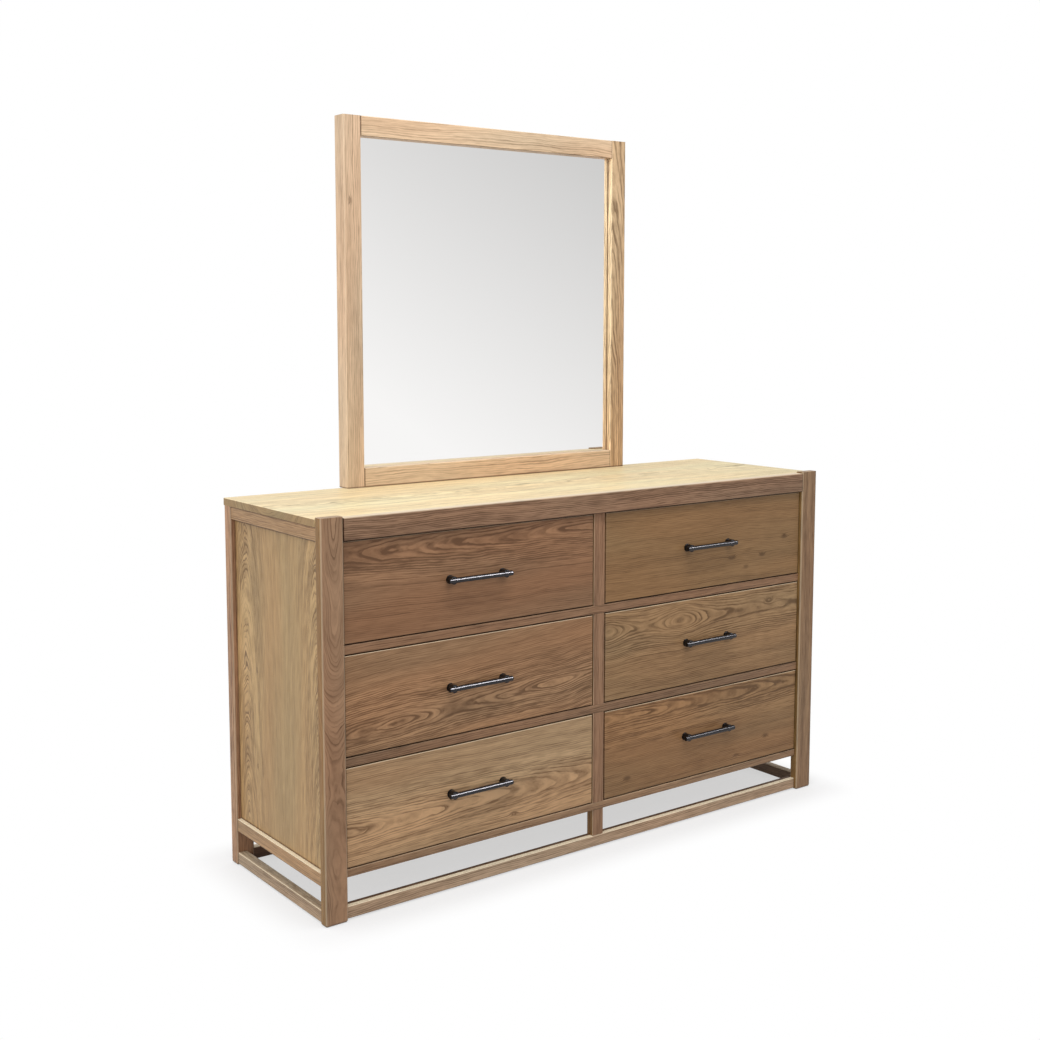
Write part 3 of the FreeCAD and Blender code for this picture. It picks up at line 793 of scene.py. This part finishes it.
def zinc_steel():
    """Zinc-plated steel, spangled and a little scratched, shared by all screws, pins and plates."""
    known = bpy.data.materials.get("zinc_steel")
    if known:
        return known
    steel = bpy.context.scene.dresser_fittings.steel
    finish = new_finish("zinc_steel")
    place = finish.place()
    spangle = finish.ease(finish.noise(place, [400.0] * 3), 0.3, 0.7)
    scratch = finish.noise(place, (2500.0, 300.0, 300.0), detail=1.0)
    tone = finish.mix(spangle, tinted(steel, [0.75] * 3), steel)
    return finish.surface({"Base Color": tone, "Metallic": 1.0, "Roughness": 0.28 + 0.2 * spangle,
                           "Normal": finish.bump(scratch, 0.2, 0.00005)})


def solids(node):
    """Lowest and highest corners of each separate solid of a CAD node, from left to right."""
    mesh = bmesh.new()
    mesh.from_mesh(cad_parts[node].data)
    bmesh.ops.remove_doubles(mesh, verts=mesh.verts, dist=NEAR)
    waiting = set(mesh.verts)
    boxes = []
    while waiting:
        island = [waiting.pop()]
        for corner in island:
            near = {edge.other_vert(corner) for edge in corner.link_edges} & waiting
            waiting -= near
            island.extend(near)
        parts = list(zip(*(corner.co for corner in island)))
        boxes.append((list(map(min, parts)), list(map(max, parts))))
    mesh.free()
    return [(Vector(low), Vector(high)) for low, high in sorted(boxes)]


def circle(radius, height, sides):
    """Corners of a level ring round Z."""
    turns = [math.tau * i / sides for i in range(sides)]
    return [(radius * math.cos(turn), radius * math.sin(turn), height) for turn in turns]


def turned(profile, sides=32):
    """A solid turned round Z from (radius, height) points, from the top of the axis to its foot."""
    mesh = bmesh.new()
    rings = []
    for radius, height in profile:
        if radius:
            rings.append([mesh.verts.new(place) for place in circle(radius, height, sides)])
        else:
            rings.append([mesh.verts.new((0.0, 0.0, height))] * sides)
    for upper, lower in zip(rings, rings[1:]):
        for i in range(sides):
            corners = (upper[i - 1], lower[i - 1], lower[i], upper[i])
            mesh.faces.new(list(dict.fromkeys(corners)))
    return mesh


def prism(lower, upper, bottom, top):
    """A solid between two like outlines, given anticlockwise, at two heights."""
    mesh = bmesh.new()
    foot = [mesh.verts.new((x, y, bottom)) for x, y in lower]
    head = [mesh.verts.new((x, y, top)) for x, y in upper]
    mesh.faces.new(head)
    mesh.faces.new(foot[::-1])
    for i in range(len(foot)):
        mesh.faces.new((head[i - 1], foot[i - 1], foot[i], head[i]))
    return mesh


def as_mesh(name, solid):
    """A mesh from a bmesh, which it frees."""
    mesh = bpy.data.meshes.new(name)
    solid.to_mesh(mesh)
    solid.free()
    return mesh


def new_object(name, data):
    """An object in the scene."""
    thing = bpy.data.objects.new(name, data)
    bpy.context.scene.collection.objects.link(thing)
    return thing


def without(solid, tool):
    """A solid with a tool taken out of it."""
    piece = new_object("solid", as_mesh("solid", solid))
    cutter = new_object("cutter", as_mesh("cutter", tool))
    cut = piece.modifiers.new("cut", "BOOLEAN")
    cut.operation = "DIFFERENCE"
    cut.solver = "EXACT"
    cut.object = cutter
    whole = piece.evaluated_get(bpy.context.evaluated_depsgraph_get())
    mesh = bpy.data.meshes.new_from_object(whole)
    for thing in (piece, cutter):
        bpy.data.objects.remove(thing)
    return mesh


def pan_screw(head, height, shank=0.0, reach=0.0):
    """A pan-headed screw with a cross recess: its seat at the origin, its head up Z, its point down."""
    radius = head / 2
    profile = [(radius * out, height * up) for out, up in PAN_PROFILE]
    if shank:
        profile += [(shank / 2, 0.0), (shank / 2, shank - reach), (0.0, -reach)]
    else:
        profile.append((0.0, 0.0))
    arm, half = radius * RECESS_ARM, radius * RECESS_HALF
    outline = []
    for c, s in ((1, 0), (0, 1), (-1, 0), (0, -1)):
        outline += [(c * x - s * y, s * x + c * y) for x, y in ((arm, -half), (arm, half), (half, half))]
    narrow = [(x * RECESS_TAPER, y * RECESS_TAPER) for x, y in outline]
    return without(turned(profile), prism(narrow, outline, height * RECESS_FLOOR, height * RECESS_BRIM))


def rounded_plate(half, start, end, thick):
    """A plate in X and Y, from start to end along Y, with round corners and eased edges."""
    bend, ease = half * PLATE_BEND, thick * PLATE_EASE
    side, far, near = half - bend, end - bend, start + bend

    def outline(inset):
        points = []
        for corner, (x, y) in enumerate(((side, far), (-side, far), (-side, near), (side, near))):
            for step in range(PLATE_STEPS + 1):
                turn = QUARTER_TURN * (corner + step / PLATE_STEPS)
                points.append((x + (bend - inset) * math.cos(turn), y + (bend - inset) * math.sin(turn)))
        return points
    plate = prism(outline(0.0), outline(0.0), 0.0, thick - ease)
    crown = prism(outline(0.0), outline(ease), thick - ease, thick)
    plate.from_mesh(as_mesh("crown", crown))
    bmesh.ops.remove_doubles(plate, verts=plate.verts, dist=TINY)
    inner = [face for face in plate.faces if abs(face.calc_center_median().z - (thick - ease)) < TINY]
    bmesh.ops.delete(plate, geom=inner, context="FACES_ONLY")
    return plate


def scatter(name, unit, places, body):
    """One piece made of copies of a mesh, its Z turned to +Y, that rides on a body."""
    to_back = Matrix.Rotation(-QUARTER_TURN, 4, "X")
    copies = bmesh.new()
    for place in places:
        start = len(copies.verts)
        copies.from_mesh(unit)
        copies.verts.ensure_lookup_table()
        bmesh.ops.transform(copies, matrix=Matrix.Translation(place) @ to_back, verts=copies.verts[start:])
    mesh = as_mesh(name, copies)
    mesh.shade_smooth()
    mesh.set_sharp_from_angle(angle=SHARP_EDGE)
    mesh.materials.append(zinc_steel())
    piece = new_object(name, mesh)
    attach(piece, body)
    return piece


class DRESSER_OT_pulls(bpy.types.Operator):
    """Gunmetal pulls, and the screws that hold them from inside the drawers"""
    bl_idname = "dresser.pulls"
    bl_label = "Pulls"

    def execute(self, context):
        fittings = context.scene.dresser_fittings
        dress([f"pull_{name}" for name in DRAWERS], self.gunmetal(fittings))
        screw = pan_screw(fittings.pull_screw_head, fittings.pull_screw_height)
        for name in DRAWERS:
            low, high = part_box(f"pull_{name}")
            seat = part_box(f"drawer_front_{name}")[1].y
            middle = (low.z + high.z) / 2
            posts = (low.x + fittings.pull_overhang, high.x - fittings.pull_overhang)
            scatter(f"pull_screws_{name}", screw, [(post, seat, middle) for post in posts], f"drawer_{name}")
        return {"FINISHED"}

    def gunmetal(self, fittings):
        """Dark metal, brushed along the bars, with a thin wax over it."""
        finish = new_finish("gunmetal")
        place = finish.place()
        brushed = finish.noise(place, (15.0, 900.0, 900.0))
        patina = finish.ease(finish.noise(place, (25.0, 60.0, 60.0), detail=3.0), 0.3, 0.7)
        dull = tinted(fittings.gunmetal, [0.92] * 3)
        clean = tinted(fittings.gunmetal, [1.08] * 3)
        return finish.surface({"Base Color": finish.mix(patina, dull, clean), "Metallic": 0.85,
                               "Roughness": fittings.gunmetal_roughness + 0.05 * (brushed - 0.5),
                               "Coat Weight": 0.2, "Coat Roughness": 0.30, "Coat IOR": 1.5})


class DRESSER_OT_batten_screws(bpy.types.Operator):
    """Screws through the battens that hold the mirror to the case"""
    bl_idname = "dresser.batten_screws"
    bl_label = "Batten Screws"

    def execute(self, context):
        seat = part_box("mirror_supports")[1].y
        boxes = solids("support_screws")
        low, high = boxes[0]
        shank = context.scene.dresser_fittings.batten_screw_shank
        screw = pan_screw(high.x - low.x, high.y - seat, shank, seat - low.y)
        places = [((low.x + high.x) / 2, seat, (low.z + high.z) / 2) for low, high in boxes]
        piece = scatter("batten_screws", screw, places, "carcase")
        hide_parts("support_screws")
        return {"FINISHED"}


class DRESSER_OT_panel_pins(bpy.types.Operator):
    """Round-headed pins that hold the back panel to the rear rails"""
    bl_idname = "dresser.panel_pins"
    bl_label = "Panel Pins"

    def execute(self, context):
        fittings = context.scene.dresser_fittings
        radius = fittings.pin_head / 2
        turns = [QUARTER_TURN * step / PIN_STEPS for step in range(PIN_STEPS + 1)]
        dome = [(radius * math.sin(turn), radius * PIN_CROWN * math.cos(turn)) for turn in turns]
        pin = as_mesh("pin", turned([*dome, (0.0, 0.0)], sides=PIN_SIDES))
        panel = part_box("back_panel")[1]
        reach = panel.x - fittings.pin_margin
        last = fittings.pin_columns - 1
        columns = [reach * (2 * step / last - 1) for step in range(fittings.pin_columns)]
        battens = solids("mirror_supports")
        places = []
        for low, high in solids("rear_rails"):
            middle = (low.z + high.z) / 2
            for x in columns:
                if not any(a.x < x < b.x and a.z < middle < b.z for a, b in battens):
                    places.append((x, panel.y, middle))
        scatter("panel_pins", pin, places, "carcase")
        return {"FINISHED"}


class DRESSER_OT_mirror_plates(bpy.types.Operator):
    """Small screwed plates that hold the board behind the mirror glass in its rebate"""
    bl_idname = "dresser.mirror_plates"
    bl_label = "Mirror Plates"

    def execute(self, context):
        fittings = context.scene.dresser_fittings
        thick, tail = fittings.plate_thickness, fittings.plate_tail
        low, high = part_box("mirror_backing")
        screw = pan_screw(fittings.plate_screw_head, fittings.plate_screw_height)
        gap = 2 * high.x / fittings.plate_columns
        columns = [low.x + gap * (step + 0.5) for step in range(fittings.plate_columns)]
        rims = {"upper": (high.z, 1), "lower": (low.z, -1)}
        for name, (rim, side) in rims.items():
            ends = sorted((-side * tail, side * fittings.plate_tongue))
            plate = as_mesh("plate", rounded_plate(fittings.plate_width / 2, *ends, thick))
            scatter(f"mirror_plates_{name}", plate, [(x, high.y, rim) for x in columns], "carcase")
        heads = [(x, high.y + thick, rim + side * tail / 2) for x in columns for rim, side in rims.values()]
        scatter("mirror_plate_screws", screw, heads, "carcase")
        return {"FINISHED"}


# Studio

FLOOR_SIDES = 96
LAMP_WIDTH = 0.3
LAMP_AIM = 0.9
STRIP_PLACE, STRIP_LENGTH = Vector((-0.2, -0.9, 2.7)), 2.0
GLEAM_PLACE, GLEAM_LENGTH = Vector((1.7, -2.4, 2.6)), 2.4

# Directions that the added light comes from, and the wall that the mirror sees, darker to the upper right
LEFT_X, LEFT_Z = -0.906, 0.423
FILL_X, FILL_Y = 0.707, 0.707
WALL_TILT, WALL_SPAN, WALL_DARK = 0.85, (0.375, 0.79), 0.5


class DRESSER_OT_studio(bpy.types.Operator):
    """Plain pale floor, soft light and the camera"""
    bl_idname = "dresser.studio"
    bl_label = "Studio"

    def execute(self, context):
        studio = context.scene.dresser_studio
        self.floor(studio)
        self.world(studio)
        self.lamps(studio)
        self.camera(studio)
        context.scene.view_settings.view_transform = "Standard"
        return {"FINISHED"}

    def floor(self, studio):
        """A pale round floor, white to the camera except in the shade under the dresser."""
        mesh = bpy.data.meshes.new("floor")
        mesh.from_pydata(circle(studio.floor_radius, 0.0, FLOOR_SIDES), [], [range(FLOOR_SIDES)])
        floor = new_object("floor", mesh)
        high = CAD_BOX[1]
        finish = new_finish("pale_floor")
        x, y, _ = finish.place()
        shown = finish.node("ShaderNodeLightPath", out="Is Camera Ray")
        shown = shown + finish.node("ShaderNodeLightPath", out="Is Glossy Ray")
        past_x = (abs(x) - high.x).most(0.0)
        past_y = (abs(y) - high.y).most(0.0)
        far = (past_x * past_x + past_y * past_y) ** 0.5
        clear = studio.floor_white + (1.0 - studio.floor_white) * finish.ease(far, 0.0, studio.floor_shade)
        dull = [part * studio.floor_bounce for part in studio.floor]
        matt = finish.node("ShaderNodeBsdfDiffuse", sockets={"Color": finish.mix(shown, dull, studio.floor)})
        white = finish.node("ShaderNodeEmission", sockets={"Color": opaque(WHITE), "Strength": 1.0})
        shader = finish.node("ShaderNodeMixShader", sockets={0: shown * clear, 1: matt, 2: white})
        finish.node("ShaderNodeOutputMaterial", sockets={"Surface": shader})
        mesh.materials.append(finish.owner)

    def world(self, studio):
        """White to the camera, a soft slope to the mirror, and soft light all round, most from the left."""
        world = bpy.data.worlds.new("studio")
        bpy.context.scene.world = world
        finish = Finish(world)
        camera = finish.node("ShaderNodeLightPath", out="Is Camera Ray")
        glossy = finish.node("ShaderNodeLightPath", out="Is Glossy Ray")
        x, y, z = finish.split(finish.node("ShaderNodeTexCoord", out="Generated"))
        wall = finish.ramp(z + WALL_TILT * x, *WALL_SPAN, 1.0, WALL_DARK)
        left = (LEFT_Z * z + LEFT_X * x).most(0.0)
        fill = (FILL_X * x + FILL_Y * y).most(0.0)
        light = studio.ambient + studio.sky * z + studio.left * left + studio.fill * fill
        strength = camera + glossy * wall + (1.0 - camera - glossy) * light
        shader = finish.node("ShaderNodeBackground", sockets={"Color": opaque(WHITE), "Strength": strength})
        finish.node("ShaderNodeOutputWorld", sockets={"Surface": shader})

    def lamps(self, studio):
        """A soft strip above the front, and one to the right that only the pulls reflect."""
        self.lamp("strip", studio.strip, STRIP_PLACE, STRIP_LENGTH)
        gleam = self.lamp("gleam", studio.gleam, GLEAM_PLACE, GLEAM_LENGTH)
        gleam.visible_diffuse = False
        lit = bpy.data.collections.new("lit_by_gleam")
        for name in DRAWERS:
            lit.objects.link(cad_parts[f"pull_{name}"])
        gleam.light_linking.receiver_collection = lit

    def lamp(self, name, power, place, long):
        """A long narrow lamp along X that looks back and down at the dresser."""
        data = bpy.data.lights.new(name, "AREA")
        data.shape = "RECTANGLE"
        data.size = long
        data.size_y = LAMP_WIDTH
        data.energy = power
        lamp = new_object(name, data)
        lamp.location = place
        aim = Vector((place.x, 0.0, LAMP_AIM)) - place
        lamp.rotation_euler = aim.to_track_quat("-Z", "Y").to_euler()
        return lamp

    def camera(self, studio):
        data = bpy.data.cameras.new("camera")
        data.sensor_width = 36.0
        data.lens = studio.lens
        data.shift_y = studio.rise
        camera = new_object("camera", data)
        camera.location = studio.camera_place
        camera.rotation_euler = (QUARTER_TURN - studio.dip, 0.0, -studio.heading)
        bpy.context.scene.camera = camera


class DRESSER_PT_dresser(bpy.types.Panel):
    """Lists the steps in the sidebar"""
    bl_label = "Dresser"
    bl_idname = "DRESSER_PT_dresser"
    bl_space_type = "VIEW_3D"
    bl_region_type = "UI"
    bl_category = "Dresser"

    def draw(self, context):
        for step in STEPS:
            self.layout.operator(step.bl_idname)
        for group, place in GROUPS.items():
            for name in group.__annotations__:
                self.layout.prop(getattr(context.scene, place), name)


STEPS = (DRESSER_OT_drawer_fronts, DRESSER_OT_case, DRESSER_OT_top, DRESSER_OT_sides, DRESSER_OT_mirror,
         DRESSER_OT_plain_wood, DRESSER_OT_pulls, DRESSER_OT_batten_screws, DRESSER_OT_panel_pins,
         DRESSER_OT_mirror_plates, DRESSER_OT_studio)
GROUPS = {DresserTimber: "dresser_timber", DresserFittings: "dresser_fittings",
          DresserStudio: "dresser_studio"}


def register():
    for group, name in GROUPS.items():
        bpy.utils.register_class(group)
        setattr(bpy.types.Scene, name, PointerProperty(type=group))
    for step in (*STEPS, DRESSER_PT_dresser):
        bpy.utils.register_class(step)


def unregister():
    for step in (*STEPS, DRESSER_PT_dresser):
        bpy.utils.unregister_class(step)
    for group, name in GROUPS.items():
        delattr(bpy.types.Scene, name)
        bpy.utils.unregister_class(group)


def main():
    register()
    for step in STEPS:
        family, name = step.bl_idname.split(".")
        getattr(getattr(bpy.ops, family), name)()


if __name__ == "__main__":
    main()
